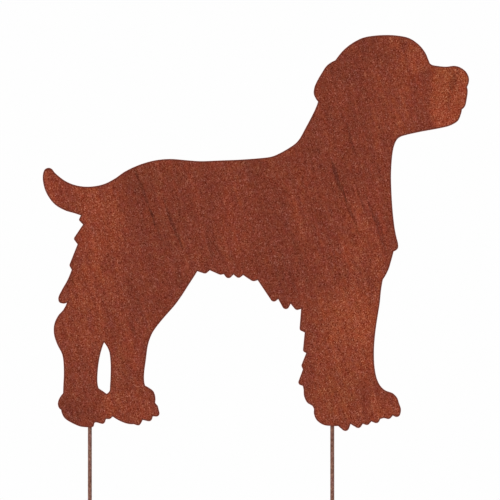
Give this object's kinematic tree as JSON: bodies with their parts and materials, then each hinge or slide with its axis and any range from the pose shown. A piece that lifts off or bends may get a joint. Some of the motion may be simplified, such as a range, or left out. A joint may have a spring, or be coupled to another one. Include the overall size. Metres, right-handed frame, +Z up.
{
  "type": "dog silhouette garden stake",
  "caption": "Flat standing dog silhouette with fur-tufted edges, cut from rusted steel plate and welded to straight round stakes that push into the ground.",
  "frame": {"origin": "on the ground line under the paws, midway between the axes of the two stakes", "axes": "+Z up, against the way the stakes are pushed in; +X the way the dog faces; the plate's open face looks along -Y and the stakes are welded to its back, on +Y"},
  "size_m": [0.4264, 0.0063, 0.596],
  "materials": {
    "rusted_plate": "matte",
    "rusted_bar": "matte",
    "weld_metal": "matte"
  },
  "bodies": {
    "root": {"dog_plate": "rusted_plate", "hind_bar": "rusted_bar", "front_bar": "rusted_bar", "hind_bar_weld_left": "weld_metal", "hind_bar_weld_right": "weld_metal", "front_bar_weld_left": "weld_metal", "front_bar_weld_right": "weld_metal"}
  },
  "joints": []
}
